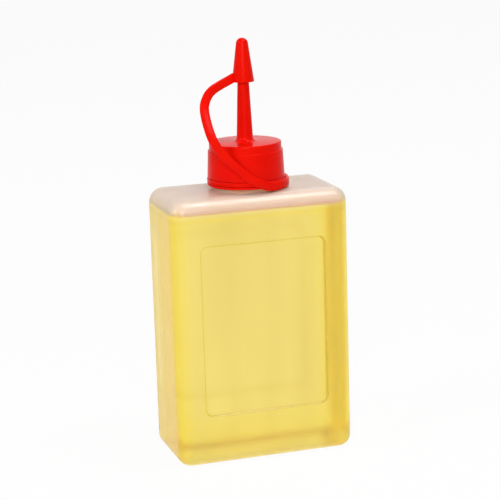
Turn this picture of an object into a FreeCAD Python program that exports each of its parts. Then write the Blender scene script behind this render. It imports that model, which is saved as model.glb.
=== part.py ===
import FreeCAD, Part
import math
import os

from FreeCAD import Base, Vector

# A flat 100 ml machine oil bottle: a blown, see-through body full of oil, a screw cap with a long
# spout, and a push-on tip cap that hangs on a strap from a ring round the foot of the screw cap.
# Millimetres, +Z up. The origin is the middle of the base, and the front panel faces -Y.

# Bottle body
BODY_WIDTH = 54.0
BODY_DEPTH = 29.0
BODY_HEIGHT = 79.5
EDGE_RADIUS = 4.4
BASE_RADIUS = 3.4
WALL = 1.0

# Sunk panel on the front and on the back
PANEL_WIDTH = 38.0
PANEL_HEIGHT = 51.0
PANEL_FOOT = 15.0
PANEL_CORNER = 2.2
PANEL_DEPTH = 0.6

# Hollow under the base, which leaves a rim to stand on
BASE_RIM = 5.0
BASE_HOLLOW = 0.8

# Neck
NECK_RADIUS = 9.0
NECK_BORE_RADIUS = 7.4
NECK_FLARE = 1.2

# Oil
OIL_LEVEL_BELOW_TOP = 4.3
OIL_GAP = 0.05

# Screw cap
CAP_ABOVE_SHOULDER = 1.1
CAP_HEIGHT = 12.5
CAP_WALL = 1.2
CAP_PLATE = 1.3
THREAD_ROOM = 1.15
SKIRT_TAPER = 0.35
BAND_HEIGHT = 2.4
BAND_STEP = 0.4
CAP_EDGE = 0.4
LIP_HEIGHT = 0.7
LIP_PROUD = 0.15
GROOVE_HEIGHT = 1.5
GROOVE_DEPTH = 0.45

# Spout, moulded with the screw cap
SPOUT_LENGTH = 28.3
SPOUT_BASE_RADIUS = 2.45
SPOUT_TIP_RADIUS = 1.2
SPOUT_FOOT = 1.3
SPOUT_BORE_RADIUS = 1.25
SPOUT_OUTLET_RADIUS = 0.6
SPOUT_OUTLET_LENGTH = 12.0

# Sealing washer between the neck and the cap
WASHER_THICKNESS = 1.0
WASHER_OVERHANG = 1.5
WASHER_GAP = 0.3

# Tip cap
TIP_MOUTH_ABOVE_CAP = 17.45
TIP_LENGTH = 12.7
TIP_MOUTH_RADIUS = 3.25
TIP_NOSE_RADIUS = 1.65
TIP_FIT = 0.05
TIP_END_ROOM = 0.3

# Tether: a ring in the groove of the screw cap, and a strap from the ring to the tip cap.
# Turns are counted round the cap from the right, as seen by someone who faces the strap.
TETHER_TURN_DEG = -17.4
RING_GAP = 0.1
RING_PROUD = 0.35
STRAP_WIDTH = 2.7
STRAP_THICKNESS = 1.0
STRAP_BEVEL = 0.6
STRAP_GAP = 0.1
STRAP_SHOULDER_GAP = 0.25
STRAP_ROOT_DEG = 60.0
STRAP_OUT_DEG = 40.0
STRAP_WIDE_DEG = 10.0
STRAP_RISE_DEG = -45.0
STRAP_LEAVE_DEG = -90.0
STRAP_STEP_DEG = 10.0
STRAP_CLIMB = 3.8
STRAP_SECTIONS = 30
LUG_LENGTH = 1.2
LUG_HEIGHT = 0.6
LUG_FRONT = 2.4

# The strap's free arch: shares of its reach to the left, of its distance to the front where it
# leaves the cap, and of its climb from there to the lug.
ARCH_REACH = 11.3
ARCH = [
    (0.51, 1.0, 0.21),
    (0.78, 1.0, 0.38),
    (0.93, 0.93, 0.565),
    (1.0, 0.8, 0.74),
    (0.93, 0.67, 0.85),
    (0.8, 0.54, 0.917),
    (0.6, 0.37, 0.963),
]

# Worked out from the sizes above
CAP_BASE = BODY_HEIGHT + CAP_ABOVE_SHOULDER
CAP_TOP = CAP_BASE + CAP_HEIGHT
PLATE_BASE = CAP_TOP - CAP_PLATE
NECK_TOP = PLATE_BASE - WASHER_THICKNESS
CAP_BORE_RADIUS = NECK_RADIUS + THREAD_ROOM
SKIRT_RADIUS = CAP_BORE_RADIUS + CAP_WALL
GROOVE_RADIUS = SKIRT_RADIUS - GROOVE_DEPTH
LIP_RADIUS = SKIRT_RADIUS + LIP_PROUD
SPOUT_TIP = CAP_TOP + SPOUT_LENGTH
TIP_MOUTH = CAP_TOP + TIP_MOUTH_ABOVE_CAP
OIL_LEVEL = BODY_HEIGHT - OIL_LEVEL_BELOW_TOP
RING_RADIUS = GROOVE_RADIUS + RING_GAP
RING_THICKNESS = GROOVE_DEPTH + RING_PROUD
RING_BASE = CAP_BASE + LIP_HEIGHT + RING_GAP
RING_HEIGHT = GROOVE_HEIGHT - 2 * RING_GAP
STRAP_RADIUS = LIP_RADIUS + STRAP_GAP + STRAP_THICKNESS / 2
STRAP_BASE = BODY_HEIGHT + STRAP_SHOULDER_GAP + STRAP_WIDTH / 2
LUG_Z = TIP_MOUTH + LUG_HEIGHT


def revolve(edges):
    """A solid of revolution about Z from a closed chain of edges in the XZ plane."""
    return Part.Face(Part.Wire(edges)).revolve(Vector(), Vector(0, 0, 1), 360)


def chain(points):
    """Straight edges through points (radius, height) in the XZ plane."""
    spots = [Vector(r, 0, z) for r, z in points]
    return [Part.makeLine(a, b) for a, b in zip(spots, spots[1:])]


def rounded_rectangle(width, height, radius):
    """A closed wire in the XY plane, centred on the origin."""
    x, y, r = width / 2, height / 2, radius
    middle = r * math.sqrt(0.5)
    edges = []
    for quarter in range(4):
        along, across = (x, y) if quarter % 2 == 0 else (y, x)
        turn = Base.Rotation(Vector(0, 0, 1), 90 * quarter)

        def place(u, v):
            return turn.multVec(Vector(u, v, 0))

        edges.append(Part.makeLine(place(along, r - across), place(along, across - r)))
        edges.append(
            Part.Arc(
                place(along, across - r),
                place(along - r + middle, across - r + middle),
                place(along - r, across),
            ).toShape()
        )
    return Part.Wire(edges)


def level_edges(shape, z):
    """The edges of a shape that lie in the plane at height z."""
    return [
        e
        for e in shape.Edges
        if abs(e.BoundBox.ZMin - z) < 1e-6 and abs(e.BoundBox.ZMax - z) < 1e-6
    ]


def softened(block, radius, z, rounded):
    """A block with its edges at height z rounded, or cut by the flat that touches that rounding."""
    edges = level_edges(block, z)
    if rounded:
        return block.makeFillet(radius, edges)
    return block.makeChamfer(radius * (2 - math.sqrt(2)), edges)


def soft_block(inset):
    """The body's block, taken in by inset on every side: round edges outside, cut ones inside."""
    wire = rounded_rectangle(
        BODY_WIDTH - 2 * inset, BODY_DEPTH - 2 * inset, EDGE_RADIUS - inset
    )
    wire.translate(Vector(0, 0, inset))
    block = Part.Face(wire).extrude(Vector(0, 0, BODY_HEIGHT - 2 * inset))
    rounded = inset == 0
    block = softened(block, BASE_RADIUS - inset, inset, rounded)
    return softened(block, EDGE_RADIUS - inset, BODY_HEIGHT - inset, rounded)


def sloped_recess(width, height, corner, depth):
    """A shallow tray with 45 degree sides, from the plane z = 0 down to -depth."""
    mouth = rounded_rectangle(width, height, corner)
    floor = rounded_rectangle(width - 2 * depth, height - 2 * depth, corner - depth)
    floor.translate(Vector(0, 0, -depth))
    return Part.makeLoft([mouth, floor], True, True)


def panel_recess(inset, side):
    """The sunk panel of the front (side -1) or the back (side 1), on the wall taken in by inset."""
    grow = 2 * inset * math.tan(math.radians(22.5))
    tray = sloped_recess(
        PANEL_WIDTH + grow, PANEL_HEIGHT + grow, PANEL_CORNER + grow / 2, PANEL_DEPTH
    )
    tray.rotate(Vector(), Vector(1, 0, 0), -90 * side)
    middle = PANEL_FOOT + PANEL_HEIGHT / 2
    tray.translate(Vector(0, side * (BODY_DEPTH / 2 - inset), middle))
    return tray


def base_recess(inset):
    """The hollow under the base, on the floor taken in by inset."""
    grow = 2 * inset * math.tan(math.radians(22.5)) - 2 * BASE_RIM
    tray = sloped_recess(
        BODY_WIDTH + grow, BODY_DEPTH + grow, EDGE_RADIUS + grow / 4, BASE_HOLLOW
    )
    tray.rotate(Vector(), Vector(1, 0, 0), 180)
    tray.translate(Vector(0, 0, inset))
    return tray


def body_form(inset, neck_radius, neck_top):
    """The block with its panels, its hollow base and its flared neck, taken in by inset."""
    form = soft_block(inset)
    form = form.cut([panel_recess(inset, -1), panel_recess(inset, 1), base_recess(inset)])
    shoulder = BODY_HEIGHT - inset
    neck = revolve(
        chain(
            [
                (0, shoulder - EDGE_RADIUS),
                (neck_radius + NECK_FLARE, shoulder - EDGE_RADIUS),
                (neck_radius + NECK_FLARE, shoulder),
                (neck_radius, shoulder + NECK_FLARE),
                (neck_radius, neck_top),
                (0, neck_top),
                (0, shoulder - EDGE_RADIUS),
            ]
        )
    )
    return form.fuse(neck).removeSplitter()


def make_bottle():
    """The blown bottle: an outer form and an inner one, a wall apart."""
    outside = body_form(0, NECK_RADIUS, NECK_TOP)
    inside = body_form(WALL, NECK_BORE_RADIUS, NECK_TOP + WALL)
    return outside.cut(inside)


def make_oil():
    """The oil, which fills the bottle up to just under the shoulder."""
    filled = body_form(WALL + OIL_GAP, NECK_BORE_RADIUS - OIL_GAP, NECK_TOP)
    air = Part.makeBox(
        BODY_WIDTH, BODY_DEPTH, BODY_HEIGHT, Vector(-BODY_WIDTH / 2, -BODY_DEPTH / 2, OIL_LEVEL)
    )
    return filled.cut(air)


def arc(start, middle, end):
    """An arc through three points (radius, height) in the XZ plane."""
    return Part.Arc(*[Vector(r, 0, z) for r, z in (start, middle, end)]).toShape()


def spout_radius(z):
    """The outer radius of the tapered spout at height z."""
    share = (z - CAP_TOP) / SPOUT_LENGTH
    return SPOUT_BASE_RADIUS + share * (SPOUT_TIP_RADIUS - SPOUT_BASE_RADIUS)


def make_spout_cap():
    """The screw cap and its spout, moulded in one piece."""
    band_base = CAP_TOP - BAND_HEIGHT
    skirt_top = SKIRT_RADIUS - SKIRT_TAPER
    band = skirt_top - BAND_STEP
    lip = CAP_BASE + LIP_HEIGHT
    groove = lip + GROOVE_HEIGHT
    foot = CAP_TOP + SPOUT_FOOT
    return revolve(
        chain(
            [
                (CAP_BORE_RADIUS, CAP_BASE),
                (LIP_RADIUS, CAP_BASE),
                (LIP_RADIUS, lip),
                (GROOVE_RADIUS, lip),
                (GROOVE_RADIUS, groove),
                (SKIRT_RADIUS, groove),
                (skirt_top, band_base),
                (band, band_base),
                (band, CAP_TOP - CAP_EDGE),
                (band - CAP_EDGE, CAP_TOP),
                (spout_radius(foot) + SPOUT_FOOT, CAP_TOP),
                (spout_radius(foot), foot),
                (SPOUT_TIP_RADIUS, SPOUT_TIP),
                (SPOUT_OUTLET_RADIUS, SPOUT_TIP),
                (SPOUT_OUTLET_RADIUS, SPOUT_TIP - SPOUT_OUTLET_LENGTH),
                (SPOUT_BORE_RADIUS, SPOUT_TIP - SPOUT_OUTLET_LENGTH),
                (SPOUT_BORE_RADIUS, PLATE_BASE),
                (CAP_BORE_RADIUS, PLATE_BASE),
                (CAP_BORE_RADIUS, CAP_BASE),
            ]
        )
    )


def make_sealing_washer():
    """The flat washer that the cap presses on the rim of the neck."""
    outer = CAP_BORE_RADIUS - WASHER_GAP
    inner = NECK_BORE_RADIUS - WASHER_OVERHANG
    base = Vector(0, 0, NECK_TOP)
    disc = Part.makeCylinder(outer, WASHER_THICKNESS, base)
    return disc.cut(Part.makeCylinder(inner, WASHER_THICKNESS, base))


def share(value, start, end):
    """How far value has come from start to end, as 0 to 1."""
    return min(1.0, max(0.0, (value - start) / (end - start)))


def eased(value, start, end):
    """The same share, with a soft start and a soft end."""
    part = share(value, start, end)
    return part * part * (3 - 2 * part)


def tether_spot(right, front, z):
    """A point from its distances to the right and to the front of the cap's axis."""
    turn = Base.Rotation(Vector(0, 0, 1), TETHER_TURN_DEG)
    return turn.multVec(Vector(right, -front, z))


def hugging_point(turn_deg):
    """The strap where it comes out of the ring, runs round the foot of the cap and starts to climb."""
    out = eased(turn_deg, STRAP_ROOT_DEG, STRAP_OUT_DEG)
    wide = eased(turn_deg, STRAP_OUT_DEG, STRAP_WIDE_DEG)
    risen = share(turn_deg, STRAP_RISE_DEG, STRAP_LEAVE_DEG)
    root = RING_RADIUS + RING_THICKNESS / 2
    radius = root + out * (STRAP_RADIUS - root)
    ring_middle = RING_BASE + RING_HEIGHT / 2
    z = ring_middle + wide * (STRAP_BASE - ring_middle) + STRAP_CLIMB * risen**2
    turn = math.radians(turn_deg)
    return tether_spot(radius * math.cos(turn), -radius * math.sin(turn), z)


def strap_curve():
    """The strap's middle line, and the place on it where the strap leaves the cap."""
    steps = round((STRAP_ROOT_DEG - STRAP_LEAVE_DEG) / STRAP_STEP_DEG)
    points = [hugging_point(STRAP_ROOT_DEG - STRAP_STEP_DEG * n) for n in range(steps + 1)]
    leaving = points[-1]
    for left, front, climb in ARCH:
        z = leaving.z + climb * (LUG_Z - leaving.z)
        points.append(tether_spot(-left * ARCH_REACH, front * STRAP_RADIUS, z))
    points.append(tether_spot(-TIP_MOUTH_RADIUS - LUG_LENGTH, LUG_FRONT, LUG_Z))
    curve = Part.BSplineCurve()
    curve.interpolate(points)
    return curve, curve.parameter(leaving)


def strap_frames():
    """Places along the strap, each with its point, its direction and the way its face looks."""
    curve, leaving = strap_curve()
    first, last = curve.FirstParameter, curve.LastParameter
    frames = []
    for step in range(STRAP_SECTIONS):
        at = first + (last - first) * step / (STRAP_SECTIONS - 1)
        point = curve.value(at)
        along = curve.tangent(at)[0]
        face = Vector(point.x, point.y, 0) if at < leaving else tether_spot(0, 1, 0)
        face = face - along * face.dot(along)
        frames.append((point, along, face.normalize()))
    return frames


def strap_section(frame):
    """The strap's section, square to the strap: a flat bar with bevelled edges."""
    point, along, face = frame
    across = along.cross(face)
    turn = math.degrees(math.atan2(point.y, point.x)) - TETHER_TURN_DEG
    wide = eased(turn, STRAP_OUT_DEG, STRAP_WIDE_DEG)
    root_width = RING_HEIGHT - 2 * RING_GAP
    root_thickness = RING_THICKNESS - 2 * RING_GAP
    width = root_width + wide * (STRAP_WIDTH - root_width)
    thickness = root_thickness + wide * (STRAP_THICKNESS - root_thickness)
    side, edge = (width - STRAP_BEVEL * thickness) / 2, (1 - STRAP_BEVEL) * thickness / 2
    corners = [
        (width / 2, edge),
        (side, thickness / 2),
        (-side, thickness / 2),
        (-width / 2, edge),
        (-width / 2, -edge),
        (-side, -thickness / 2),
        (side, -thickness / 2),
        (width / 2, -edge),
    ]
    return Part.makePolygon([point + across * a + face * f for a, f in corners + corners[:1]])


def make_tether():
    """The ring and the strap, up to the lug of the tip cap."""
    strap = Part.makeLoft([strap_section(frame) for frame in strap_frames()], True, False)
    base = Vector(0, 0, RING_BASE)
    ring = Part.makeCylinder(RING_RADIUS + RING_THICKNESS, RING_HEIGHT, base)
    ring = ring.cut(Part.makeCylinder(RING_RADIUS, RING_HEIGHT, base))
    return ring.fuse(strap)


def make_tip_cap():
    """The tapered cap on the end of the spout, with the lug that its strap grows from."""
    nose = TIP_MOUTH + TIP_LENGTH
    dome_base = nose - TIP_NOSE_RADIUS
    side = TIP_NOSE_RADIUS * math.sqrt(0.5)
    edges = chain([(0, TIP_MOUTH), (TIP_MOUTH_RADIUS, TIP_MOUTH), (TIP_NOSE_RADIUS, dome_base)])
    edges.append(arc((TIP_NOSE_RADIUS, dome_base), (side, dome_base + side), (0, nose)))
    edges += chain([(0, nose), (0, TIP_MOUTH)])
    cone = revolve(edges)

    end = strap_frames()[-1]
    lug = Part.Face(strap_section(end)).extrude(end[1] * (LUG_LENGTH + TIP_MOUTH_RADIUS))

    socket_end = SPOUT_TIP + TIP_END_ROOM
    socket = revolve(
        chain(
            [
                (0, TIP_MOUTH - STRAP_WIDTH),
                (spout_radius(TIP_MOUTH - STRAP_WIDTH) + TIP_FIT, TIP_MOUTH - STRAP_WIDTH),
                (spout_radius(socket_end) + TIP_FIT, socket_end),
                (0, socket_end),
                (0, TIP_MOUTH - STRAP_WIDTH),
            ]
        )
    )
    return cone.fuse(lug).cut(socket)


def main():
    os.makedirs("parts", exist_ok=True)
    pieces = {
        "bottle": make_bottle(),
        "oil": make_oil(),
        "spout_cap": make_spout_cap(),
        "sealing_washer": make_sealing_washer(),
        "tether": make_tether(),
        "tip_cap": make_tip_cap(),
    }
    for name, shape in pieces.items():
        box = shape.BoundBox
        print(
            f"{name}: {len(shape.Solids)} solid, valid {shape.isValid()}, {shape.Volume:.1f} mm3, "
            f"x {box.XMin:.2f}..{box.XMax:.2f} y {box.YMin:.2f}..{box.YMax:.2f} "
            f"z {box.ZMin:.2f}..{box.ZMax:.2f}"
        )
        shape.exportStep(f"parts/{name}.step")


main()
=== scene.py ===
# %% [markdown]
# # A machine oil bottle, dressed in Blender
# The real object is a flat blown bottle full of pale yellow oil. A red screw cap with a long spout
# closes it, and a small tip cap on a strap closes the spout. The CAD model fixes every size and every
# joint, so this lesson loads it first and keeps its box.

# %% Load the frame
import math

import bmesh
import bpy
from mathutils import Matrix, Quaternion, Vector
from mathutils.geometry import interpolate_bezier


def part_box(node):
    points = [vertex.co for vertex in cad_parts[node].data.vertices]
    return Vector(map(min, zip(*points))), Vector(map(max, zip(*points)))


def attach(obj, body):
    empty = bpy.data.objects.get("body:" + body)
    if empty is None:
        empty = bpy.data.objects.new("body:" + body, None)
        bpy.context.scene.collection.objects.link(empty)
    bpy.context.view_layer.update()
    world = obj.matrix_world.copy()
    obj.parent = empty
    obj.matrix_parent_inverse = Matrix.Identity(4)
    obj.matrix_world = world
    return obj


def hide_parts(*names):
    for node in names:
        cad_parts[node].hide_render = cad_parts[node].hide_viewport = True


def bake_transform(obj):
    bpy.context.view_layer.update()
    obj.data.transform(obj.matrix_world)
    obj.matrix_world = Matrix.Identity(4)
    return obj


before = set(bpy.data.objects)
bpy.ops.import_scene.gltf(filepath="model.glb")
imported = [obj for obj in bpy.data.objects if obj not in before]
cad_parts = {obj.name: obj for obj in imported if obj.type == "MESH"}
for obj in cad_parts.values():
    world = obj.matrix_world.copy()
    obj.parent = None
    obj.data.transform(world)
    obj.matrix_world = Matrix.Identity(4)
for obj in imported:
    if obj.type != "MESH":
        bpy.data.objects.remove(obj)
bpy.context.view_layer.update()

print("CAD nodes:", sorted(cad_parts))

# %% [markdown]
# ## Sizes
# Boxes of the CAD nodes give the outer sizes. What a box can't show, such as a wall or a rounding, is
# repeated in millimetres where it is first needed, as the mould maker would write it on the drawing.

# %% Sizes of the body
MM = 0.001

bottle_low, bottle_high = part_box("bottle")
BODY_WIDTH = bottle_high.x - bottle_low.x
BODY_DEPTH = bottle_high.y - bottle_low.y
BODY_HEIGHT = 79.5 * MM
NECK_TOP = bottle_high.z
OIL_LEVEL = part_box("oil")[1].z
EDGE_RADIUS = 4.4 * MM
BASE_RADIUS = 3.4 * MM
WALL = 1.0 * MM

print(f"body {BODY_WIDTH / MM:.1f} x {BODY_DEPTH / MM:.1f} x {BODY_HEIGHT / MM:.1f} mm")
print(f"oil up to {OIL_LEVEL / MM:.1f} mm")

# %% [markdown]
# ## Rings into a skin
# Every piece here is a row of closed rings with the same number of points, joined into a skin of quads.
# A turned piece has circles, the blown body has rounded rectangles, and the strap has flat ovals, so one
# helper serves them all. A skin made this way has clean rows of faces, which bend light without dents.

# %% Helpers for skins
MERGE_DISTANCE = 1e-7


def placed(name, data):
    """A new object with this data, linked into the scene."""
    made = bpy.data.objects.new(name, data)
    bpy.context.scene.collection.objects.link(made)
    return made


def skin(name, rings, closed=False, sharp_deg=35, changes=()):
    """A mesh object from rings of points, open with flat ends or closed on itself.

    From each ring number in changes on, the faces take the object's next material.
    """
    mesh = bmesh.new()
    rows = [[mesh.verts.new(point) for point in ring] for ring in rings]
    pairs = list(zip(rows, rows[1:]))
    if closed:
        pairs.append((rows[-1], rows[0]))
    else:
        mesh.faces.new(list(reversed(rows[0])))
        mesh.faces.new(rows[-1]).material_index = len(changes)
    for row, (low, high) in enumerate(pairs):
        for n in range(len(low)):
            after = (n + 1) % len(low)
            face = mesh.faces.new((low[n], low[after], high[after], high[n]))
            face.material_index = sum(row >= change for change in changes)
    bmesh.ops.remove_doubles(mesh, verts=mesh.verts, dist=MERGE_DISTANCE)
    bmesh.ops.recalc_face_normals(mesh, faces=mesh.faces)
    data = bpy.data.meshes.new(name)
    mesh.to_mesh(data)
    mesh.free()
    data.polygons.foreach_set("use_smooth", [True] * len(data.polygons))
    data.set_sharp_from_angle(angle=math.radians(sharp_deg))
    print(f"{name}: {len(data.polygons)} faces")
    return placed(name, data)


# %% [markdown]
# ## The blown bottle
# A real one is a warm tube of plastic blown against a two-part mould. Its walls are about a millimetre
# thick all over, so the inside follows the outside, panel and all. A subdivided box would lose the crisp
# panel, so the skin is laid out on stations: close together where the panel's edge turns, and far apart
# on the flats. A thin seam runs up both narrow sides, where the halves of the mould met.

# %% Stations round the body
PANEL_WIDTH = 38.0 * MM
PANEL_HEIGHT = 51.0 * MM
PANEL_FOOT = 15.0 * MM
PANEL_CORNER = 2.2 * MM
PANEL_MARGIN = 0.1 * MM
SEAM_WIDTH = 0.25 * MM
SEAM_ROOM = 3 * SEAM_WIDTH
OUTER_START = PANEL_WIDTH / 2 + 1.0 * MM
CORNER_SHARE = 1.2
EDGE_STATIONS, OUTER_STATIONS, PANEL_STATIONS, SIDE_STATIONS = 18, 4, 15, 7


def spread(start, end, count):
    """Evenly spaced values, both ends included."""
    return [start + (end - start) * n / (count - 1) for n in range(count)]


FLAT_X = BODY_WIDTH / 2 - EDGE_RADIUS
FLAT_Y = BODY_DEPTH / 2 - EDGE_RADIUS
edge_start = PANEL_WIDTH / 2 - CORNER_SHARE * PANEL_CORNER
edge_band = spread(edge_start, PANEL_WIDTH / 2 + PANEL_MARGIN, EDGE_STATIONS)
half_row = edge_band + spread(OUTER_START, FLAT_X, OUTER_STATIONS)
panel_row = spread(-edge_start, edge_start, PANEL_STATIONS)[1:-1]
long_row = [-x for x in reversed(half_row)] + panel_row + half_row
half_side = [0.0, SEAM_WIDTH] + spread(SEAM_ROOM, FLAT_Y, SIDE_STATIONS)
short_row = [-y for y in reversed(half_side[1:])] + half_side
print(f"{len(long_row)} stations on a wide side, {len(short_row)} on a narrow one")

# %% Rounded rectangles
CORNER_STEPS = 8
SMALLEST_CORNER = 0.4 * MM


def body_ring(inset, z):
    """A rounded rectangle at height z, taken in by inset, as (point, outward direction) pairs."""
    radius = max(EDGE_RADIUS - inset, SMALLEST_CORNER)
    across, deep = BODY_WIDTH / 2 - inset, BODY_DEPTH / 2 - inset
    x_share, y_share = (across - radius) / FLAT_X, (deep - radius) / FLAT_Y
    sides = [
        ([Vector((x * x_share, -deep, z)) for x in long_row], Vector((0, -1, 0))),
        ([Vector((across, y * y_share, z)) for y in short_row], Vector((1, 0, 0))),
        ([Vector((-x * x_share, deep, z)) for x in long_row], Vector((0, 1, 0))),
        ([Vector((-across, -y * y_share, z)) for y in short_row], Vector((-1, 0, 0))),
    ]
    ring = []
    for n, (points, out) in enumerate(sides):
        ring += [(point, out) for point in points]
        centre = points[-1] - out * radius
        onward = sides[(n + 1) % len(sides)][1]
        for step in range(1, CORNER_STEPS):
            turn = math.pi / 2 * step / CORNER_STEPS
            arm = out * math.cos(turn) + onward * math.sin(turn)
            ring.append((centre + arm * radius, arm))
    return ring


print(f"{len(body_ring(0, 0))} points in a ring round the body")

# %% Panels and seams
PANEL_DEPTH = 0.6 * MM
PANEL_SLOPE = 0.4 * MM
BACK_PANEL_SLOPE = 2.0 * MM
PANEL_MIDDLE = PANEL_FOOT + PANEL_HEIGHT / 2
SEAM_HEIGHT = 0.07 * MM
ON_A_FLAT = 0.99


def eased(share):
    """0 to 1 with a soft start and a soft end."""
    share = min(1.0, max(0.0, share))
    return share * share * (3 - 2 * share)


def panel_sink(x, z, slope):
    """How deep a panel is at a place on the front or the back, with a rounded slope at its edge."""
    side = abs(x) - PANEL_WIDTH / 2 + PANEL_CORNER
    end = abs(z - PANEL_MIDDLE) - PANEL_HEIGHT / 2 + PANEL_CORNER
    outside = math.hypot(max(side, 0), max(end, 0)) + min(max(side, end), 0) - PANEL_CORNER
    return PANEL_DEPTH * eased(-outside / slope)


def wall_ring(inset, z, seam=False):
    """The body's ring with its panels sunk and, on the outside, its mould seams."""
    points = []
    for point, out in body_ring(inset, z):
        slope = PANEL_SLOPE if out.y < 0 else BACK_PANEL_SLOPE
        sink = panel_sink(point.x, z, slope) if abs(out.y) > ON_A_FLAT else 0
        if seam and abs(out.x) > ON_A_FLAT and abs(point.y) > SEAM_WIDTH / 2:
            sink += SEAM_HEIGHT
        points.append(point - out * sink)
    return points


print(f"panel {panel_sink(0, PANEL_MIDDLE, PANEL_SLOPE) / MM:.2f} mm deep")
print(f"seam {SEAM_HEIGHT / MM:.2f} mm high")

# %% Heights up the wall
BAND_SHARE = 1.25
FOOT_LEVELS, EDGE_LEVELS, PANEL_LEVELS, HEAD_LEVELS = 6, 18, 19, 5


def wall_levels(foot, head):
    """Heights up the straight wall, close together at the panel's lower and upper edges."""
    low = PANEL_FOOT - PANEL_MARGIN
    high = PANEL_FOOT + PANEL_HEIGHT + PANEL_MARGIN
    band = BAND_SHARE * PANEL_CORNER
    return (
        spread(foot, low, FOOT_LEVELS)[:-1]
        + spread(low, low + band, EDGE_LEVELS)
        + spread(low + band, high - band, PANEL_LEVELS)[1:-1]
        + spread(high - band, high, EDGE_LEVELS)
        + spread(high, head, HEAD_LEVELS)[1:]
    )


print(f"{len(wall_levels(BASE_RADIUS, BODY_HEIGHT - EDGE_RADIUS))} levels up the wall")

# %% [markdown]
# ## Base, shoulder and neck
# The base is hollow, so that the bottle stands on its rim, and the shoulder rounds over into a flat top
# with a round neck. These could be separate meshes joined by a boolean, but a boolean leaves ragged
# faces. Here the rings of the wall shrink to the middle of the base, and at the top they turn into
# circles, so the bottle is one clean skin.

# %% Rings of the base and the shoulder
BASE_RIM = 5.0 * MM
BASE_HOLLOW = 0.8 * MM
BASE_SHARES = 0.96, 0.7
HOLLOW_STEPS = 5
ROUND_STEPS = 8


def quarter(steps):
    """Angles of a quarter turn, both ends included."""
    return spread(0, math.pi / 2, steps + 1)


def base_rings(inset):
    """The hollow base, from its middle out to the wall."""
    foot, radius = inset, BASE_RADIUS - inset
    hollow = foot + BASE_HOLLOW
    rings = [wall_ring(share * BODY_DEPTH / 2, hollow) for share in BASE_SHARES]
    for share in spread(0, 1, HOLLOW_STEPS):
        taken_in = BASE_RIM + (0.5 - share) * BASE_HOLLOW
        rings.append(wall_ring(taken_in, hollow - BASE_HOLLOW * eased(share)))
    for turn in quarter(ROUND_STEPS):
        taken_in = inset + radius * (1 - math.sin(turn))
        rings.append(wall_ring(taken_in, foot + radius * (1 - math.cos(turn)), inset == 0))
    return rings


def shoulder_rings(inset):
    """The rounding from the wall to the flat top."""
    radius = EDGE_RADIUS - inset
    top = BODY_HEIGHT - inset
    rings = []
    for turn in quarter(ROUND_STEPS):
        taken_in = inset + radius * (1 - math.cos(turn))
        rings.append(wall_ring(taken_in, top - radius * (1 - math.sin(turn)), inset == 0))
    return rings


print(f"{len(base_rings(0))} rings in the base, {len(shoulder_rings(0))} in the shoulder")

# %% Rings of the neck
NECK_RADIUS = 9.0 * MM
NECK_BORE_RADIUS = 7.4 * MM
NECK_ROOT = 2.05 * MM
TOP_SHARES = 0.3, 0.6, 0.85


def towards_circle(ring, radius, z, share=1):
    """A ring part of the way from a rounded rectangle to a circle about the Z axis."""
    points = []
    for point in ring:
        round_spot = Vector((point.x, point.y, 0)).normalized() * radius
        flat = Vector((point.x, point.y, 0)).lerp(round_spot, share)
        points.append(Vector((flat.x, flat.y, z)))
    return points


def neck_rings(inset, radius):
    """The flat top in to the neck, and up the neck's root."""
    top = BODY_HEIGHT - inset
    edge = shoulder_rings(inset)[-1]
    root = NECK_ROOT + inset
    rings = [towards_circle(edge, radius + root, top, share) for share in TOP_SHARES]
    for turn in quarter(ROUND_STEPS):
        spread_out = radius + root * (1 - math.sin(turn))
        rings.append(towards_circle(edge, spread_out, top + root * (1 - math.cos(turn))))
    return rings


def form_rings(inset, neck_radius):
    """All rings of the outside (inset 0) or of the inside (inset one wall), from the base up."""
    rings = base_rings(inset)
    levels = wall_levels(BASE_RADIUS, BODY_HEIGHT - EDGE_RADIUS)
    rings += [wall_ring(inset, z, inset == 0) for z in levels[1:-1]]
    return rings + shoulder_rings(inset) + neck_rings(inset, neck_radius)


outside = form_rings(0, NECK_RADIUS)
inside = form_rings(WALL, NECK_BORE_RADIUS)
print(f"{len(outside)} rings outside and {len(inside)} inside")

# %% Make the bottle
NECK_RIM_ROUND = 0.35 * MM
RIM_STEPS = 4
BLOWN_SHARP_DEG = 60


def rim_ring(turn, start, way):
    """A ring of the neck's rounded rim, which leaves the start radius by way (1 out, -1 in)."""
    radius = start + way * NECK_RIM_ROUND * (1 - math.cos(turn))
    return towards_circle(outside[-1], radius, NECK_TOP - NECK_RIM_ROUND * (1 - math.sin(turn)))


rim = [rim_ring(turn, NECK_RADIUS, -1) for turn in quarter(RIM_STEPS)]
rim += [rim_ring(turn, NECK_BORE_RADIUS, 1) for turn in reversed(quarter(RIM_STEPS))]
dry_from = len(outside) + len(rim)
wet_from = dry_from + sum(ring[0].z > OIL_LEVEL for ring in inside)
bottle = skin(
    "bottle_body",
    outside + rim + list(reversed(inside)),
    sharp_deg=BLOWN_SHARP_DEG,
    changes=(dry_from, wet_from),
)

# %% [markdown]
# ## The screw threads
# The neck has a raised thread, and the cap has one inside that runs between its turns. Blender's Screw
# modifier could wind them, but its ends stay blunt. Each is a small ridge on a helix here, which fades in
# and out at its ends as a moulded thread does. Both climb by the same pitch as the cap's joint, so they
# slide along each other when the cap is unscrewed.

# %% Threads
PITCH = 3.175 * MM
THREAD_TURNS = 1.5
THREAD_HALF = 0.75 * MM
THREAD_CREST = 0.3 * THREAD_HALF
THREAD_HEIGHT = 0.85 * MM
THREAD_SINK = 0.15 * MM
THREAD_FOOT = BODY_HEIGHT + 3.4 * MM
THREAD_FADE = 0.12
THREAD_STEPS = 160
CAP_BORE_RADIUS = 10.15 * MM


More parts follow.
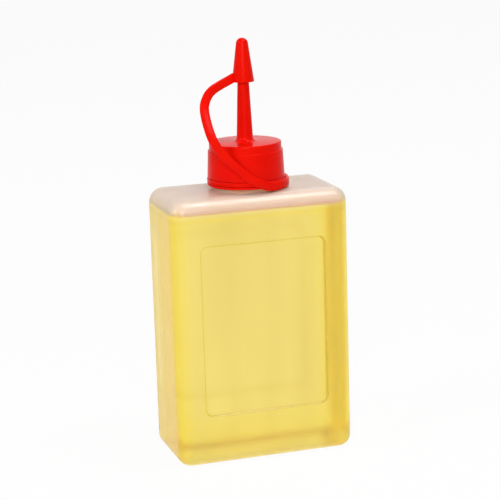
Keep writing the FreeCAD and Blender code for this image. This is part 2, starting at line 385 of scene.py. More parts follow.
def thread(name, radius, side, foot):
    """A ridge on a helix: side 1 stands out from the radius, side -1 stands in."""
    rings = []
    for share in spread(0, 1, THREAD_STEPS + 1):
        turn = 2 * math.pi * THREAD_TURNS * share
        height = THREAD_HEIGHT * eased(min(share, 1 - share) / THREAD_FADE)
        out = Vector((math.cos(turn), math.sin(turn), 0))
        z = foot + PITCH * THREAD_TURNS * share
        section = [
            (-THREAD_SINK, -THREAD_HALF),
            (height, -THREAD_CREST),
            (height, THREAD_CREST),
            (-THREAD_SINK, THREAD_HALF),
        ]
        rings.append([out * (radius + side * r) + Vector((0, 0, z + h)) for r, h in section])
    return skin(name, rings)


neck_thread = thread("neck_thread", NECK_RADIUS, 1, THREAD_FOOT)
cap_thread = thread("cap_thread", CAP_BORE_RADIUS, -1, THREAD_FOOT + PITCH / 2)

# %% [markdown]
# ## The oil
# Oil wets the wall, with no air between them. A skin exactly on the wall would flicker, because two faces
# would lie in one place, and a skin with a gap would shine like a mirror. So this one reaches a little way
# into the plastic. Its top edge creeps up the wall in a small curve, as a liquid does.

# %% Make the oil
OIL_REACH = 0.12 * MM
MENISCUS = 0.5 * MM
MENISCUS_WIDTH = 1.6 * MM
MENISCUS_STEPS = 7
OIL_TOP_SHARES = 0.5, 0.96

oil_inset = WALL - OIL_REACH
oil_flat = OIL_LEVEL - MENISCUS
oil_rings = base_rings(oil_inset)
oil_rings += [wall_ring(oil_inset, z) for z in wall_levels(BASE_RADIUS, oil_flat)[1:]]
top_from = len(oil_rings)
for share in spread(0, 1, MENISCUS_STEPS):
    z = OIL_LEVEL - MENISCUS * eased(share)
    oil_rings.append(wall_ring(oil_inset + MENISCUS_WIDTH * share**2, z))
oil_rings += [wall_ring(share * BODY_DEPTH / 2, oil_flat) for share in OIL_TOP_SHARES]
oil = skin("oil_fill", oil_rings, sharp_deg=BLOWN_SHARP_DEG, changes=(top_from,))

# %% [markdown]
# ## The screw cap and its spout
# One red moulding, turned about the neck's axis. It could be a cylinder and a cone with a Bevel modifier,
# but then the bore would need a boolean. A profile that is turned once round gives the outside and the
# bore together. Moulded edges are never quite sharp, and the soft line of light along each edge is what
# makes plastic look like plastic, so most corners of the profile have a small rounding. The foot of the
# spout flares into the flat top.

# %% Helpers for turned pieces
def circle(radius, z, count):
    """A level ring of points about the Z axis."""
    turns = [2 * math.pi * n / count for n in range(count)]
    return [Vector((radius * math.cos(t), radius * math.sin(t), z)) for t in turns]


def rounded_profile(corners, steps):
    """A profile of (radius, height, rounding) corners, with each corner rounded by an arc."""
    spots = [Vector((r, z)) for r, z, _ in corners]
    profile = []
    for n, (_, _, rounding) in enumerate(corners):
        here = spots[n]
        if rounding == 0:
            profile.append(here)
            continue
        back = (spots[n - 1] - here).normalized()
        on = (spots[(n + 1) % len(spots)] - here).normalized()
        half = back.angle(on) / 2
        centre = here + (back + on).normalized() * (rounding / math.sin(half))
        start = here + back * (rounding / math.tan(half)) - centre
        end = here + on * (rounding / math.tan(half)) - centre
        turn = start.angle_signed(end)
        for step in range(steps + 1):
            arm = start.copy()
            arm.rotate(Matrix.Rotation(-turn * step / steps, 2))
            profile.append(centre + arm)
    return profile


def turned(name, corners, count=128, steps=6):
    """A turned piece from a closed profile of (radius, height, rounding) corners."""
    profile = rounded_profile(corners, steps)
    return skin(name, [circle(r, z, count) for r, z in profile], closed=True)


# %% Sizes of the spout cap
cap_low, cap_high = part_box("spout_cap")
CAP_BASE = cap_low.z
CAP_TOP = CAP_BASE + 12.5 * MM
PLATE_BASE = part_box("sealing_washer")[1].z
LIP_RADIUS = cap_high.x
LIP_HEIGHT = 0.7 * MM
GROOVE_RADIUS = 10.9 * MM
GROOVE_HEIGHT = 1.5 * MM
SKIRT_RADIUS = 11.35 * MM
SKIRT_TOP_RADIUS = 11.0 * MM
BAND_RADIUS = 10.6 * MM
BAND_HEIGHT = 2.4 * MM
SPOUT_TIP = cap_high.z
SPOUT_BASE_RADIUS = 2.45 * MM
SPOUT_TIP_RADIUS = 1.2 * MM
SPOUT_FOOT = 1.3 * MM
SPOUT_BORE_RADIUS = 1.25 * MM
SPOUT_OUTLET_RADIUS = 0.6 * MM
SPOUT_OUTLET_LENGTH = 12.0 * MM
SOFT = 0.25 * MM

print(f"spout {(SPOUT_TIP - CAP_TOP) / MM:.1f} mm long on a cap {2 * LIP_RADIUS / MM:.1f} mm across")

# %% Make the spout cap
lip_top = CAP_BASE + LIP_HEIGHT
groove_top = lip_top + GROOVE_HEIGHT
band_base = CAP_TOP - BAND_HEIGHT
outlet_base = SPOUT_TIP - SPOUT_OUTLET_LENGTH

spout_cap = turned(
    "spout_cap_shell",
    [
        (CAP_BORE_RADIUS, CAP_BASE, SOFT),
        (LIP_RADIUS, CAP_BASE, SOFT),
        (LIP_RADIUS, lip_top, SOFT),
        (GROOVE_RADIUS, lip_top, 0),
        (GROOVE_RADIUS, groove_top, 0),
        (SKIRT_RADIUS, groove_top, SOFT / 2),
        (SKIRT_TOP_RADIUS, band_base, SOFT / 2),
        (BAND_RADIUS, band_base, SOFT / 2),
        (BAND_RADIUS, CAP_TOP, 2 * SOFT),
        (SPOUT_BASE_RADIUS, CAP_TOP, SPOUT_FOOT),
        (SPOUT_TIP_RADIUS, SPOUT_TIP, SOFT / 2),
        (SPOUT_OUTLET_RADIUS, SPOUT_TIP, SOFT / 2),
        (SPOUT_OUTLET_RADIUS, outlet_base, 0),
        (SPOUT_BORE_RADIUS, outlet_base, 0),
        (SPOUT_BORE_RADIUS, PLATE_BASE, SOFT),
        (CAP_BORE_RADIUS, PLATE_BASE, SOFT),
    ],
)

# %% [markdown]
# ## The tip cap
# A hollow cone with a round nose that pushes onto the spout. It is turned like the screw cap, because a
# cone from the Add menu would have no socket. The socket follows the taper of the spout, a hair wider, and
# shows when the tip cap is pulled off.

# %% Make the tip cap
TIP_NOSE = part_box("tip_cap")[1].z
TIP_MOUTH = CAP_TOP + 17.45 * MM
TIP_MOUTH_RADIUS = 3.25 * MM
TIP_NOSE_RADIUS = 1.55 * MM
TIP_DOME = 1.7 * MM
TIP_FIT = 0.05 * MM
TIP_END_ROOM = 0.3 * MM
ON_AXIS = 0.001 * MM

socket_end = SPOUT_TIP + TIP_END_ROOM


def spout_radius(z):
    """The outer radius of the spout at height z."""
    share = (z - CAP_TOP) / (SPOUT_TIP - CAP_TOP)
    return SPOUT_BASE_RADIUS + share * (SPOUT_TIP_RADIUS - SPOUT_BASE_RADIUS)


tip_cap = turned(
    "tip_cap_shell",
    [
        (ON_AXIS, TIP_NOSE, 0),
        (ON_AXIS, socket_end, 0),
        (spout_radius(socket_end) + TIP_FIT, socket_end, 0),
        (spout_radius(TIP_MOUTH) + TIP_FIT, TIP_MOUTH, SOFT / 2),
        (TIP_MOUTH_RADIUS, TIP_MOUTH, SOFT / 2),
        (TIP_NOSE_RADIUS, TIP_NOSE, TIP_DOME),
    ],
    count=96,
    steps=12,
)

# %% [markdown]
# ## The tether
# A ring sits in the groove of the screw cap, and a strap grows out of it, runs round the foot of the
# cap, climbs across the front and arches over to the tip cap. It is moulded flat with round edges. A bent
# curve object would twist, so each section is set one by one: it faces away from the cap while it hugs it,
# and to the front along the arch.

# %% The strap round the cap
TETHER_TURN = math.radians(-17.4)
RING_GAP = 0.1 * MM
STRAP_WIDTH = 2.7 * MM
STRAP_THICKNESS = 1.0 * MM
STRAP_GAP = 0.1 * MM
STRAP_SHOULDER_GAP = 0.25 * MM
STRAP_ROOT_DEG, STRAP_OUT_DEG, STRAP_WIDE_DEG = 60, 40, 10
STRAP_RISE_DEG, STRAP_LEAVE_DEG = -45, -90
STRAP_CLIMB = 3.8 * MM
HUG_STEP_DEG = 10

ring_inner = GROOVE_RADIUS + RING_GAP
ring_outer = LIP_RADIUS
ring_base = lip_top + RING_GAP
ring_top = groove_top - RING_GAP
strap_radius = LIP_RADIUS + STRAP_GAP + STRAP_THICKNESS / 2
strap_base = BODY_HEIGHT + STRAP_SHOULDER_GAP + STRAP_WIDTH / 2


def tether_spot(right, front, z):
    """A point from its distances to the right and to the front of the cap's axis."""
    turn = Quaternion((0, 0, 1), TETHER_TURN)
    return turn @ Vector((right, -front, z))


def came(value, start, end):
    """How far value has come from start to end."""
    return min(1.0, max(0.0, (value - start) / (end - start)))


def hugging_point(turn_deg):
    """The strap where it leaves the ring, runs round the foot of the cap and starts to climb."""
    out = eased(came(turn_deg, STRAP_ROOT_DEG, STRAP_OUT_DEG))
    wide = eased(came(turn_deg, STRAP_OUT_DEG, STRAP_WIDE_DEG))
    risen = came(turn_deg, STRAP_RISE_DEG, STRAP_LEAVE_DEG)
    root = (ring_inner + ring_outer) / 2
    radius = root + out * (strap_radius - root)
    middle = (ring_base + ring_top) / 2
    z = middle + wide * (strap_base - middle) + STRAP_CLIMB * risen**2
    turn = math.radians(turn_deg)
    return tether_spot(radius * math.cos(turn), -radius * math.sin(turn), z)


hug_turns = range(STRAP_ROOT_DEG, STRAP_LEAVE_DEG - 1, -HUG_STEP_DEG)
hugging = [hugging_point(turn) for turn in hug_turns]
print(f"{len(hugging)} points round the cap")

# %% The strap's arch
LUG_LENGTH = 1.2 * MM
LUG_FRONT = 2.4 * MM
LUG_Z = TIP_MOUTH + 0.6 * MM
LUG_SINK = LUG_LENGTH + 0.45 * TIP_MOUTH_RADIUS
ARCH_REACH = 11.3 * MM
# Each point is a share of the reach to the left, of the way to the front, and of the climb to the lug.
ARCH = [
    (0.51, 1.0, 0.21),
    (0.78, 1.0, 0.38),
    (0.93, 0.93, 0.565),
    (1.0, 0.8, 0.74),
    (0.93, 0.67, 0.85),
    (0.8, 0.54, 0.917),
    (0.6, 0.37, 0.963),
]
PATH_STEPS = 6


def smooth_path(points, steps):
    """A smooth line through points, with steps places from each to the next.

    Each handle is a sixth of the way between a point's neighbours, the rule for a Catmull-Rom curve.
    """
    path = []
    for n in range(len(points) - 1):
        before, start, end = points[max(n - 1, 0)], points[n], points[n + 1]
        after = points[min(n + 2, len(points) - 1)]
        leaving, coming = start + (end - before) / 6, end - (after - start) / 6
        path += interpolate_bezier(start, leaving, coming, end, steps + 1)[:-1]
    return path + [points[-1].copy()]


leave_z = hugging[-1].z
arch = []
for left, front, climb in ARCH:
    arch.append(tether_spot(-left * ARCH_REACH, front * strap_radius, leave_z + climb * (LUG_Z - leave_z)))
arch.append(tether_spot(-TIP_MOUTH_RADIUS - LUG_LENGTH, LUG_FRONT, LUG_Z))
lug_way = (arch[-1] - arch[-2]).normalized()
arch.append(arch[-1] + lug_way * LUG_SINK)
path = smooth_path(hugging + arch, PATH_STEPS)
path_length = sum((end - start).length for start, end in zip(path, path[1:]))
print(f"strap route: {len(path)} places, {path_length / MM:.1f} mm long")

# %% Make the strap
def strap_section(point, along, face, width, thickness, count=6):
    """A flat oval section, square to the strap."""
    across = along.cross(face).normalized()
    straight = (width - thickness) / 2
    oval = []
    for end in (1, -1):
        for step in range(count + 1):
            turn = math.pi * step / count - math.pi / 2
            side = end * (straight + thickness / 2 * math.cos(turn))
            up = end * thickness / 2 * math.sin(turn)
            oval.append(point + across * side + face * up)
    return oval


front_way = tether_spot(0, 1, 0)
leave_step = PATH_STEPS * (len(hugging) - 1)
root_width = ring_top - ring_base - 2 * RING_GAP
root_thickness = ring_outer - ring_inner - 2 * RING_GAP
strap_rings = []
for n, point in enumerate(path):
    hugs = n < leave_step
    along = (path[min(n + 1, len(path) - 1)] - path[max(n - 1, 0)]).normalized()
    face = Vector((point.x, point.y, 0)) if hugs else front_way
    face = (face - along * face.dot(along)).normalized()
    turn_deg = math.degrees(math.atan2(point.y, point.x) - TETHER_TURN)
    wide = eased(came(turn_deg, STRAP_OUT_DEG, STRAP_WIDE_DEG)) if hugs else 1.0
    width = root_width + wide * (STRAP_WIDTH - root_width)
    thickness = root_thickness + wide * (STRAP_THICKNESS - root_thickness)
    strap_rings.append(strap_section(point, along, face, width, thickness))
tether = skin("tether_strap", strap_rings)

# %% Make the ring in the groove
tether_ring = turned(
    "tether_ring",
    [
        (ring_inner, ring_base, SOFT),
        (ring_outer, ring_base, SOFT),
        (ring_outer, ring_top, SOFT),
        (ring_inner, ring_top, SOFT),
    ],
)

# %% [markdown]
# ## Which piece stands for which CAD node
# Each dressed piece hides the CAD node that it stands for, and all but the strap ride on that node's body.
# The threads and the ring stand for no node of their own, so they only ride. The strap rides on no body
# and stays where it lies; on the real bottle its lower end stays when the tip is pulled off.

# %% Bodies, nodes and slots
STANDS_FOR = [
    (bottle, "bottle"),
    (oil, "oil"),
    (spout_cap, "spout_cap"),
    (tip_cap, "tip_cap"),
    (tether, "tether"),
]
CARRIED_BY = {
    "bottle": [bottle, neck_thread, oil],
    "screw_cap": [spout_cap, cap_thread, tether_ring],
    "tip": [tip_cap],
}
SLOTS = {
    "bottle_plastic": [bottle, neck_thread],
    "oil": [oil],
    "cap_plastic": [spout_cap, cap_thread, tether_ring, tip_cap, tether],
}

for piece, node in STANDS_FOR:
    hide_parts(node)
for body, pieces in CARRIED_BY.items():
    for piece in pieces:
        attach(piece, body)
    print(f"{body} carries", ", ".join(piece.name for piece in pieces))
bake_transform(tether)

# %% [markdown]
# ## Finishes
# A finish is a small graph of nodes that feeds the Principled shader. Noise nodes give it the unevenness
# of the real thing, so no surface has one flat colour. Such a graph could be clicked together by hand in
# the Shader Editor. Here a short class adds the few kinds of node that the finishes share, so that each
# finish reads like a recipe.

# %% Nodes for the finishes
NOISE_LOW, NOISE_HIGH = 0.3, 0.7


class Nodes:
    """Short ways to add nodes to a material or to the world."""

    def __init__(self, tree):
        self.tree = tree

    def fill(self, name, values):
        """Give the inputs of a named node a number, a colour or what another node puts out."""
        for key, value in values.items():
            socket = self.tree.nodes[name].inputs[key]
            self.feed(socket, value)

    def feed(self, socket, value):
        """Give one input its value, or link it."""
        if isinstance(value, bpy.types.NodeSocket):
            self.tree.links.new(value, socket)
        elif socket.type == "RGBA":
            socket.default_value = (*value, 1)
        else:
            socket.default_value = value

    def add(self, kind, inputs, **settings):
        """A new node with its settings, and its inputs filled by name or number."""
        node = self.tree.nodes.new(kind)
        for setting, value in settings.items():
            setattr(node, setting, value)
        self.fill(node.name, inputs)
        return node

    def place(self):
        """Where the shaded point is, in the object's own space."""
        return self.add("ShaderNodeTexCoord", {}).outputs["Object"]

    def noise(self, scale, low=0, high=1, detail=3.0, stretch=1.0):
        """Noise between two values, drawn out along Z by stretch."""
        drawn = self.add("ShaderNodeMapping", {"Vector": self.place(), "Scale": (1, 1, 1 / stretch)})
        wanted = {"Vector": drawn.outputs["Vector"], "Scale": scale, "Detail": detail}
        value = self.add("ShaderNodeTexNoise", wanted).outputs["Fac"]
        ends = {"From Min": NOISE_LOW, "From Max": NOISE_HIGH, "To Min": low, "To Max": high}
        return self.add("ShaderNodeMapRange", {"Value": value, **ends}).outputs["Result"]

    def step(self, value, start, end, low=0, high=1):
        """A soft step from low, at the start value, to high, at the end value."""
        ends = {"From Min": start, "From Max": end, "To Min": low, "To Max": high}
        ramp = self.add("ShaderNodeMapRange", {"Value": value, **ends}, interpolation_type="SMOOTHSTEP")
        return ramp.outputs["Result"]

    def compute(self, operation, *values):
        """A Math node on one or two values."""
        return self.add("ShaderNodeMath", dict(enumerate(values)), operation=operation).outputs["Value"]

    def mix(self, factor, first, second):
        """A mix of two colours."""
        node = self.add("ShaderNodeMix", {"Factor": factor}, data_type="RGBA")
        ends = [socket for socket in node.inputs if socket.type == "RGBA"]
        for socket, colour in zip(ends, (first, second)):
            self.feed(socket, colour)
        return next(out for out in node.outputs if out.type == "RGBA")

    def shade(self, values):
        """Fill the inputs of the Principled shader."""
        self.fill("Principled BSDF", values)

    def bump(self, height, strength, depth):
        """Small relief on the shader, from a height."""
        node = self.add("ShaderNodeBump", {"Height": height, "Strength": strength, "Distance": depth})
        self.shade({"Normal": node.outputs["Normal"]})


# %% Starting a finish and putting it on
def new_finish(name):
    """A new material and its nodes."""
    material = bpy.data.materials.new(name)
    material.use_nodes = True
    return material, Nodes(material.node_tree)


def dress(finish, *pieces):
    """Give pieces a finish as their next material."""
    for piece in pieces:
        piece.data.materials.append(finish)
    print(f"{finish.name} on", ", ".join(piece.name for piece in pieces))


# %% [markdown]
# ## Blown plastic
# The wall is see-through and frosted, with faint upright streaks from the blowing. It looks clear where
# oil is behind it and milky above, and the milky part has a painted warm glow for the light that the oil
# and the red cap throw into it. A painted golden tint at the upright edges and at the foot stands for
# light that has come a long way through the oil, a painted shade lies along the panel edges, and there is
# a deeper line where the oil creeps up. Vertex colours could hold these tints, but they would be only as
# fine as the mesh. Soft steps on the place of each point are sharp at any size.
# A thin gloss lies over the frost, as on the real wall, and gives the small bright highlights.

# %% Where the tints of the wall lie
FADE_FROM, FADE_TO = OIL_LEVEL - 1.8 * MM, OIL_LEVEL + 2.8 * MM
EDGE_FROM, EDGE_TO = 21.5 * MM, 25.5 * MM
FOOT_FROM, FOOT_TO = 12.0 * MM, 3.0 * MM
CREASE_HALF = 0.45 * MM
CREEP_MIDDLE = OIL_LEVEL - 1.6 * MM
CREEP_HALF = 1.4 * MM


def across_and_up(nodes):
    """How far a point is from the middle of the bottle, to either side, and its height."""
    spot = nodes.add("ShaderNodeSeparateXYZ", {"Vector": nodes.place()})
    return nodes.compute("ABSOLUTE", spot.outputs["X"]), spot.outputs["Z"]


def distance_from(nodes, value, middle):
    """How far a value is from a middle one, on either side."""
    return nodes.compute("ABSOLUTE", nodes.compute("SUBTRACT", value, middle))


def crease_shade_mask(nodes, across, height):
    """Where the painted shade lies: 1 along the edge of the panels, 0 elsewhere, worked out as in
    panel_sink.
    """
    side = nodes.compute("SUBTRACT", across, PANEL_WIDTH / 2 - PANEL_CORNER)
    rise = distance_from(nodes, height, PANEL_MIDDLE)
    end = nodes.compute("SUBTRACT", rise, PANEL_HEIGHT / 2 - PANEL_CORNER)
    past = [nodes.compute("POWER", nodes.compute("MAXIMUM", way, 0.0), 2.0) for way in (side, end)]
    round_part = nodes.compute("SQRT", nodes.compute("ADD", *past))
    flat_part = nodes.compute("MINIMUM", nodes.compute("MAXIMUM", side, end), 0.0)
    to_corner = nodes.compute("ADD", round_part, flat_part)
    outside_by = nodes.compute("SUBTRACT", to_corner, PANEL_CORNER)
    return nodes.step(distance_from(nodes, outside_by, -PANEL_SLOPE / 2), CREASE_HALF, 0.0)


print(f"milky from {FADE_FROM / MM:.1f} to {FADE_TO / MM:.1f} mm up")

# %% The outside and the dry inside of the wall
CLEAR_TINTS = (0.97, 0.92, 0.93), (0.87, 0.8, 0.76)
# The warm tint of the milky wall is a painted glow, for light that the oil and the red cap throw into it.
MILKY_AND_GLOW_TINTS = (1.0, 0.89, 0.78), (0.99, 0.86, 0.74)
# Painted light: the golden tints at the foot and at the upright edges stand for light that has come a long
# way through the oil.
FOOT_PAINTED_GOLD = (0.94, 0.86, 0.48)
EDGE_PAINTED_GOLD = (1.0, 0.94, 0.42)
# Painted shade along the panel edges, whose slope bends light in from elsewhere.
CREASE_PAINTED_SHADE = (0.7, 0.62, 0.24)
CREEP_TINT = (0.95, 0.86, 0.55)
CLEAR_BELOW, CLEAR_ABOVE = 1.0, 0.55
FROST_BELOW, FROST_ABOVE = 0.37, 0.39
DRY_FROST = 0.05
FROST_SCALE, FROST_SPREAD = 140, (0.8, 1.2)
STREAK_SCALE, STREAK_DETAIL, STREAK_STRETCH = 110, 2.0, 8.0
WAVE_SCALE, WAVE_DETAIL, WAVE_STRENGTH, WAVE_DEPTH = 45, 1.0, 0.12, 0.4 * MM
PLASTIC_IOR = 1.46
GLOSS, GLOSS_ROUGHNESS = 0.2, 0.1


def bottle_plastic(name, frost_below, frost_above, gloss):
    """Blown plastic, a little wavy: clear where oil is behind it, milky above, with painted glow, golden
    light and shade on it.
    """
    material, nodes = new_finish(name)
    across, height = across_and_up(nodes)
    streaks = nodes.noise(STREAK_SCALE, detail=STREAK_DETAIL, stretch=STREAK_STRETCH)
    creep = nodes.step(distance_from(nodes, height, CREEP_MIDDLE), CREEP_HALF, 0.0)
    below = nodes.mix(streaks, *CLEAR_TINTS)
    # Painted golden light at the foot and at the upright edges.
    below = nodes.mix(nodes.step(height, FOOT_FROM, FOOT_TO), below, FOOT_PAINTED_GOLD)
    below = nodes.mix(nodes.step(across, EDGE_FROM, EDGE_TO), below, EDGE_PAINTED_GOLD)
    # Painted shade along the panel edges.
    below = nodes.mix(crease_shade_mask(nodes, across, height), below, CREASE_PAINTED_SHADE)
    below = nodes.mix(creep, below, CREEP_TINT)
    # The milky tint carries a painted warm glow.
    above = nodes.mix(streaks, *MILKY_AND_GLOW_TINTS)
    frost = nodes.step(height, FADE_FROM, FADE_TO, frost_below, frost_above)
    nodes.shade(
        {
            "Base Color": nodes.mix(nodes.step(height, FADE_FROM, FADE_TO), below, above),
            "Roughness": nodes.compute("MULTIPLY", frost, nodes.noise(FROST_SCALE, *FROST_SPREAD)),
            "Transmission Weight": nodes.step(height, FADE_FROM, FADE_TO, CLEAR_BELOW, CLEAR_ABOVE),
            "IOR": PLASTIC_IOR,
            "Coat Weight": gloss,
            "Coat Roughness": GLOSS_ROUGHNESS,
        }
    )
    nodes.bump(nodes.noise(WAVE_SCALE, detail=WAVE_DETAIL), WAVE_STRENGTH, WAVE_DEPTH)
    return material


dress(bottle_plastic("bottle_plastic", FROST_BELOW, FROST_ABOVE, GLOSS), bottle, neck_thread)
dress(bottle_plastic("bottle_plastic_dry", DRY_FROST, DRY_FROST, 0.0), bottle)

# %% [markdown]
# ## The wetted wall
# Oil and plastic bend light by almost the same amount, so the inside of a wetted wall nearly vanishes. A
# wall with its usual index of refraction would shine there like glass in air. With an index of 1, light
# goes straight on. From the front, the narrow sides mirror light that has come a long way through the oil,
# and a golden tint there deepens it.

# %% The wetted inside of the wall
NO_BEND = 1.0
WET_TINTS = (1.0, 1.0, 1.0), (0.995, 0.995, 0.99)
WET_SCALE = 60
NARROW_TINT = (1.0, 0.97, 0.45)
NARROW_FROM, NARROW_TO = 24.5 * MM, 25.9 * MM


def wetted_plastic():
    """The wetted inside of the wall, where light goes straight on into the oil."""
    material, nodes = new_finish("bottle_plastic_wet")
    across, _ = across_and_up(nodes)
    flats = nodes.mix(nodes.noise(WET_SCALE), *WET_TINTS)
    tint = nodes.mix(nodes.step(across, NARROW_FROM, NARROW_TO), flats, NARROW_TINT)
    nodes.shade({"Base Color": tint, "Roughness": 0.0, "IOR": NO_BEND, "Transmission Weight": 1.0})
    return material


dress(wetted_plastic(), bottle)

# %% [markdown]
# ## Oil
# Pale oil is clear in a drop and yellow in a bottle, because it takes up blue light on the way through. A
# yellow surface would look the same at any depth, so a Volume Absorption node does it here. The sides of
# the oil bend no light, like the wall that they wet. Its top meets air, so it bends light as oil does.

# %% Oil
OIL_IOR = 1.46
OIL_TINTS = (1.0, 0.99, 0.96), (0.99, 0.97, 0.93)
OIL_SCALE = 25
OIL_COLOUR = (1.0, 0.935, 0.27)
OIL_DENSITY = 79.0


def oil_liquid(name, ior):
    """Clear pale yellow oil that takes up blue light on its way through."""
    material, nodes = new_finish(name)
    tint = nodes.mix(nodes.noise(OIL_SCALE), *OIL_TINTS)
    nodes.shade({"Base Color": tint, "Roughness": 0.0, "IOR": ior, "Transmission Weight": 1.0})
    takes_up = nodes.add("ShaderNodeVolumeAbsorption", {"Color": OIL_COLOUR, "Density": OIL_DENSITY})
    nodes.fill("Material Output", {"Volume": takes_up.outputs["Volume"]})
    return material


dress(oil_liquid("oil", NO_BEND), oil)
dress(oil_liquid("oil_top", OIL_IOR), oil)

# %% [markdown]
# ## Red plastic
# The caps and the strap are one glossy red plastic, with faint marks where it flowed into the mould. A
# plain red would do from afar, but close up the light would slide over it as over glass. A little noise in
# the colour, the roughness and the relief breaks that up. A low specular level keeps the red deep.

# %% Red plastic
RED_TINTS = (0.81, 0.006, 0.0005), (0.76, 0.004, 0.0005)
FLOW_SCALE = 160
RED_ROUGHNESS, RED_ROUGHNESS_SCALE = (0.2, 0.25), 300
RIPPLE_SCALE, RIPPLE_STRENGTH, RIPPLE_DEPTH = 250, 0.02, 0.03 * MM
RED_IOR = 1.5
RED_SPECULAR = 0.05


def red_plastic():
    """Glossy red moulded plastic with faint flow marks."""
    material, nodes = new_finish("cap_plastic")
    nodes.shade(
        {
            "Base Color": nodes.mix(nodes.noise(FLOW_SCALE), *RED_TINTS),
            "Roughness": nodes.noise(RED_ROUGHNESS_SCALE, *RED_ROUGHNESS),
            "IOR": RED_IOR,
            "Specular IOR Level": RED_SPECULAR,
        }
    )
    nodes.bump(nodes.noise(RIPPLE_SCALE), RIPPLE_STRENGTH, RIPPLE_DEPTH)
    return material


dress(red_plastic(), *SLOTS["cap_plastic"])

# %% [markdown]
# ## Washer foam
# The flat washer in the cap is white foamed plastic with fine pores. Its CAD solid is already the right
# shape, so it gets a finish and no new mesh. The same noise gives the pores their shade and their depth.

# %% Washer foam
FOAM_TINTS = (0.86, 0.86, 0.84), (0.72, 0.72, 0.7)
FOAM_ROUGHNESS = 0.85
PORE_SCALE, PORE_STRENGTH, PORE_DEPTH = 1800, 0.4, 0.1 * MM


def washer_foam():
    """Matt white foamed plastic with fine pores."""
    material, nodes = new_finish("washer_foam")
    pores = nodes.noise(PORE_SCALE)
    nodes.shade({"Base Color": nodes.mix(pores, *FOAM_TINTS), "Roughness": FOAM_ROUGHNESS})
    nodes.bump(pores, PORE_STRENGTH, PORE_DEPTH)
    return material


foam = washer_foam()
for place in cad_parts["sealing_washer"].material_slots:
    place.material = foam
print(f"{foam.name} on the washer")

# %% [markdown]
# ## Floor
# The photograph has a white studio ground. More light would make the floor white and burn out the bottle,
# so the floor shows itself nearly white to the camera, to reflections and to light that comes through the
# bottle, and is lit as any surface for the rest. The small share of lit surface keeps a soft shadow.

# %% Floor
WHITE = (1.0, 1.0, 1.0)
FLOOR_HALF = 4.0
FLOOR_DROP = 0.3 * MM
FLOOR_GLOW = 0.95
FLOOR_COLOUR = (0.9, 0.9, 0.9)
FLOOR_ROUGHNESS = 0.9
SQUARE = [(-1, -1), (1, -1), (1, 1), (-1, 1)]


def seen_directly(nodes):
    """1 for rays from the camera, from reflections and from light through glass, else 0."""
    rays = nodes.add("ShaderNodeLightPath", {}).outputs
    first = nodes.compute("MAXIMUM", rays["Is Camera Ray"], rays["Is Glossy Ray"])
    return nodes.compute("MAXIMUM", first, rays["Is Transmission Ray"])


def floor_finish():
    """Pale ground that looks white and still takes a shadow."""
    material, nodes = new_finish("studio_floor")
    nodes.shade({"Base Color": FLOOR_COLOUR, "Roughness": FLOOR_ROUGHNESS, "Specular IOR Level": 0.0})
    lit = nodes.tree.nodes["Principled BSDF"].outputs["BSDF"]
    glow = nodes.add("ShaderNodeEmission", {"Color": WHITE, "Strength": 1.0}).outputs["Emission"]
    share = nodes.compute("MULTIPLY", seen_directly(nodes), FLOOR_GLOW)
    either = nodes.add("ShaderNodeMixShader", {"Fac": share, 1: lit, 2: glow})
    nodes.fill("Material Output", {"Surface": either.outputs["Shader"]})
    material.cycles.emission_sampling = "NONE"
    return material


ground = bpy.data.meshes.new("studio_floor")
ground.from_pydata([(x * FLOOR_HALF, y * FLOOR_HALF, -FLOOR_DROP) for x, y in SQUARE], [], [(0, 1, 2, 3)])
floor = placed("studio_floor", ground)
dress(floor_finish(), floor)

# %% [markdown]
# ## Light
# The world is white to look at, as the floor is, and lights the object only a little. Four soft boxes do
# most of it: one above, one in front, one to the left and a weak one high up behind. A sun lamp would
# draw hard shadows, which the photograph doesn't have. Light through the bottle crosses many
# surfaces, so it gets more bounces than usual, and a limit on the brightest ones keeps specks away.

# %% World
WORLD_LIGHT = 0.12
LIGHT_BOUNCES = 32
BRIGHTEST_BOUNCE = 1.5

world = bpy.data.worlds.new("studio")
bpy.context.scene.world = world
world.use_nodes = True
sky = Nodes(world.node_tree)
sky.fill("Background", {"Color": WHITE, "Strength": WORLD_LIGHT})
lighting = sky.tree.nodes["Background"].outputs["Background"]
shown = sky.add("ShaderNodeBackground", {"Color": WHITE, "Strength": 1.0}).outputs["Background"]
either = sky.add("ShaderNodeMixShader", {"Fac": seen_directly(sky), 1: lighting, 2: shown})
sky.fill("World Output", {"Surface": either.outputs["Shader"]})
world.cycles.sampling_method = "NONE"

cycles = bpy.context.scene.cycles
cycles.max_bounces = LIGHT_BOUNCES
cycles.glossy_bounces = LIGHT_BOUNCES
cycles.transmission_bounces = LIGHT_BOUNCES
cycles.sample_clamp_indirect = BRIGHTEST_BOUNCE
print(f"world at {WORLD_LIGHT}, {LIGHT_BOUNCES} bounces")

# %% Soft boxes
LAMP_AIM = Vector((0, 0, 0.06))
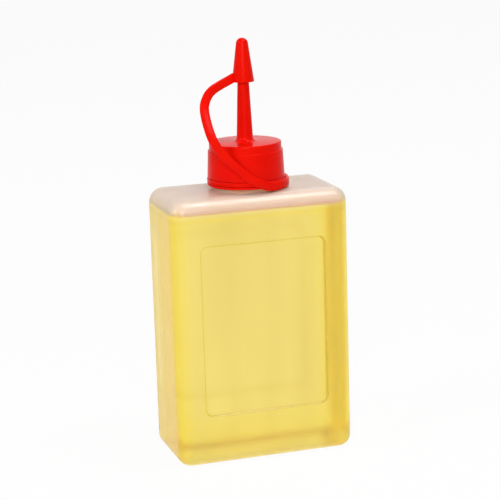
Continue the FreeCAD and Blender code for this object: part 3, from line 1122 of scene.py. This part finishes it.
# Each soft box has a name, a place, a width in metres and a power in watts.
SOFT_BOXES = [
    ("box_above", (0.2, -0.17, 0.75), 0.3, 2.7),
    ("box_front", (-0.25, -0.85, 0.45), 0.4, 4.2),
    ("box_left", (-0.75, -0.15, 0.45), 0.25, 2.4),
    ("box_behind", (0.45, 0.6, 0.8), 0.4, 1.0),
]

for name, place, size, watts in SOFT_BOXES:
    lamp = bpy.data.lights.new(name, "AREA")
    lamp.size = size
    lamp.energy = watts
    holder = placed(name, lamp)
    holder.location = place
    holder.rotation_euler = (LAMP_AIM - Vector(place)).to_track_quat("-Z", "Y").to_euler()
    holder.visible_transmission = False
    print(f"{name}: {watts} W")

# %% [markdown]
# ## Camera
# The photographer stood a little to the left and above, with a long lens, and the picture leans slightly.
# A Track To constraint would aim the camera but not lean it, so its three axes are worked out here. The
# view was found by laying the CAD outline over the photograph's.

# %% Camera
FRAME_PIXELS = 500
FOCAL_PIXELS = 1755
SENSOR = 36.0
NEAREST = 10 * MM
VIEW_AZIMUTH = math.radians(-17.4)
VIEW_ELEVATION = math.radians(13.0)
VIEW_ROLL = math.radians(-1.8)
VIEW_DISTANCE = 520 * MM
AIM = Vector((0, 0, 61.45 * MM))
AIM_RIGHT = 0.5 * MM
AIM_UP = -1.06 * MM

level = Vector((math.cos(VIEW_AZIMUTH), math.sin(VIEW_AZIMUTH), 0))
away = Vector((math.sin(VIEW_AZIMUTH), -math.cos(VIEW_AZIMUTH), 0))
back = away * math.cos(VIEW_ELEVATION) + Vector((0, 0, math.sin(VIEW_ELEVATION)))
right = level * math.cos(VIEW_ROLL) + back.cross(level) * math.sin(VIEW_ROLL)
up = back.cross(right)

lens = bpy.data.cameras.new("camera")
lens.sensor_width = SENSOR
lens.lens = FOCAL_PIXELS / FRAME_PIXELS * SENSOR
lens.clip_start = NEAREST
camera = placed("camera", lens)
stand = AIM + back * VIEW_DISTANCE + right * AIM_RIGHT + up * AIM_UP
camera.matrix_world = Matrix.Translation(stand) @ Matrix((right, up, back)).transposed().to_4x4()
bpy.context.scene.camera = camera
bpy.context.scene.view_settings.view_transform = "Standard"
print(f"lens {lens.lens:.1f} mm at {VIEW_DISTANCE:.2f} m")
